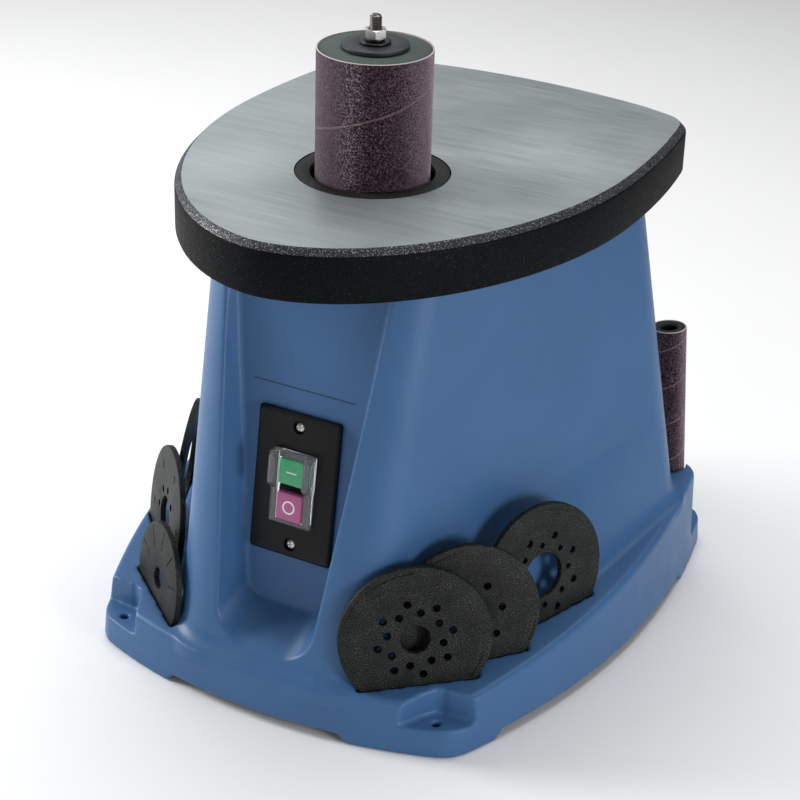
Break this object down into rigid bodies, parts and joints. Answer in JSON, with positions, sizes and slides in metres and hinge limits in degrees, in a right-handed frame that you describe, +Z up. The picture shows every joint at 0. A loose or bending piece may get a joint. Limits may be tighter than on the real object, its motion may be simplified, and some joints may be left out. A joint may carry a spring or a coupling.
{
  "type": "oscillating spindle sander",
  "caption": "Bench spindle sander: a rubber drum with an abrasive sleeve turns and moves up and down through an iron table on a moulded body, with spare inserts stored on its base.",
  "frame": {"origin": "middle of the bounding box at the ground, between the four feet", "axes": "+Z up; -Y is the machine's front, where the switch is; +X its right side"},
  "size_m": [0.372, 0.3998, 0.4453],
  "materials": {
    "moulded_blue": "satin moulded plastic, fine texture",
    "black_plastic": "matte black moulded plastic",
    "ground_iron": "fine ground top face, black textured paint on the rim",
    "zinc_steel": "bright zinc plate",
    "dark_steel": "blackened steel",
    "drum_rubber": "moulded rubber",
    "abrasive_cloth": "coarse aluminium oxide grit on cloth",
    "cast_aluminium": "as cast",
    "bronze": "machined",
    "winding_copper": "laminations and enamelled copper winding",
    "button_green": "semi-gloss",
    "button_red": "semi-gloss",
    "clear_plastic": "clear moulded plastic"
  },
  "bodies": {
    "frame": {"housing": "moulded_blue", "bottom_cover": "black_plastic", "table": "ground_iron", "table_bolt_front_right": "zinc_steel", "table_bolt_front_left": "zinc_steel", "table_bolt_rear_right": "zinc_steel", "table_bolt_rear_left": "zinc_steel", "switch_plate": "black_plastic", "switch_frame": "clear_plastic", "switch_body": "black_plastic", "plate_screw_upper": "zinc_steel", "plate_screw_lower": "zinc_steel", "dust_chamber": "black_plastic", "power_inlet_gland": "black_plastic", "chassis_top_plate": "cast_aluminium", "chassis_bottom_plate": "cast_aluminium", "chassis_column_front_right": "zinc_steel", "chassis_column_front_left": "zinc_steel", "chassis_column_rear_right": "zinc_steel", "chassis_column_rear_left": "zinc_steel", "guide_rod": "zinc_steel", "upper_bearing": "zinc_steel", "gear_bracket": "cast_aluminium", "drive_belt": "drum_rubber", "motor_housing": "cast_aluminium", "motor_top_cap": "cast_aluminium", "motor_bottom_cap": "cast_aluminium", "motor_stator": "winding_copper", "run_capacitor": "black_plastic"},
    "carriage": {"oscillating_carriage": "cast_aluminium", "carriage_bearing": "zinc_steel"},
    "spindle": {"spindle_shaft": "zinc_steel", "rubber_drum": "drum_rubber", "sanding_sleeve": "abrasive_cloth", "clamp_washer": "dark_steel", "small_washer": "zinc_steel", "lock_washer": "dark_steel", "spindle_nut": "zinc_steel"},
    "drive_sleeve": {"spindle_pulley": "cast_aluminium", "worm": "zinc_steel"},
    "motor_armature": {"motor_rotor": "zinc_steel", "motor_shaft": "zinc_steel", "motor_fan": "black_plastic", "motor_pulley": "zinc_steel"},
    "worm_wheel": {"worm_wheel": "bronze", "crank_axle": "zinc_steel"},
    "green_button": {"green_button": "button_green"},
    "red_button": {"red_button": "button_red"},
    "table_insert": {"table_insert": "black_plastic"},
    "insert_right_front": {"stored_insert_right_front": "black_plastic"},
    "insert_right_middle": {"stored_insert_right_middle": "black_plastic"},
    "insert_right_rear": {"stored_insert_right_rear": "black_plastic"},
    "insert_left_front": {"stored_insert_left_front": "black_plastic"},
    "insert_left_middle": {"stored_insert_left_middle": "black_plastic"},
    "insert_left_rear": {"stored_insert_left_rear": "black_plastic"},
    "spare_26": {"spare_sleeve_26": "abrasive_cloth", "spare_drum_26": "drum_rubber"},
    "spare_38": {"spare_sleeve_38": "abrasive_cloth", "spare_drum_38": "drum_rubber"}
  },
  "joints": [
    {"name": "motor_spin", "type": "hinge", "parent": "frame", "child": "motor_armature", "pos_m": [0, 0.04625, 0.18], "axis": [0, 0, 1], "continuous": true},
    {"name": "pulley_spin", "type": "hinge", "parent": "frame", "child": "drive_sleeve", "pos_m": [0, -0.04575, 0.24], "axis": [0, 0, 1], "continuous": true},
    {"name": "worm_wheel_spin", "type": "hinge", "parent": "frame", "child": "worm_wheel", "pos_m": [0, -0.08315, 0.21], "axis": [1, 0, 0], "continuous": true},
    {"name": "spindle_oscillation", "type": "slide", "parent": "frame", "child": "carriage", "axis": [0, 0, 1], "range_m": [-0.008, 0.008]},
    {"name": "spindle_spin", "type": "hinge", "parent": "carriage", "child": "spindle", "pos_m": [0, -0.04575, 0.3], "axis": [0, 0, 1], "continuous": true},
    {"name": "green_button_press", "type": "slide", "parent": "frame", "child": "green_button", "axis": [0, 0.9902, -0.1393], "range_m": [0, 0.003], "stiffness_N_per_m": 300, "springref_m": -0.002},
    {"name": "red_button_press", "type": "slide", "parent": "frame", "child": "red_button", "axis": [0, 0.9902, -0.1393], "range_m": [0, 0.003], "stiffness_N_per_m": 300, "springref_m": -0.002},
    {"name": "table_insert_lift", "type": "slide", "parent": "frame", "child": "table_insert", "axis": [0, 0, 1], "range_m": [0, 0.11]},
    {"name": "insert_right_front_lift", "type": "slide", "parent": "frame", "child": "insert_right_front", "axis": [-0.0838, 0.1111, 0.9903], "range_m": [0, 0.024]},
    {"name": "insert_right_middle_lift", "type": "slide", "parent": "frame", "child": "insert_right_middle", "axis": [-0.0984, 0.0984, 0.9903], "range_m": [0, 0.024]},
    {"name": "insert_right_rear_lift", "type": "slide", "parent": "frame", "child": "insert_right_rear", "axis": [-0.1271, 0.0566, 0.9903], "range_m": [0, 0.024]},
    {"name": "insert_left_front_lift", "type": "slide", "parent": "frame", "child": "insert_left_front", "axis": [0.0838, 0.1111, 0.9903], "range_m": [0, 0.03]},
    {"name": "insert_left_middle_lift", "type": "slide", "parent": "frame", "child": "insert_left_middle", "axis": [0.0984, 0.0984, 0.9903], "range_m": [0, 0.024]},
    {"name": "insert_left_rear_lift", "type": "slide", "parent": "frame", "child": "insert_left_rear", "axis": [0.1271, 0.0566, 0.9903], "range_m": [0, 0.024]},
    {"name": "spare_26_lift", "type": "slide", "parent": "frame", "child": "spare_26", "axis": [-0.075, 0, 0.9972], "range_m": [0, 0.036]},
    {"name": "spare_38_lift", "type": "slide", "parent": "frame", "child": "spare_38", "axis": [0.075, 0, 0.9972], "range_m": [0, 0.036]}
  ],
  "couplings": [
    {"joint": "pulley_spin", "follows": "motor_spin", "ratio": 0.7},
    {"joint": "spindle_spin", "follows": "motor_spin", "ratio": 0.7},
    {"joint": "worm_wheel_spin", "follows": "motor_spin", "ratio": -0.020588}
  ]
}
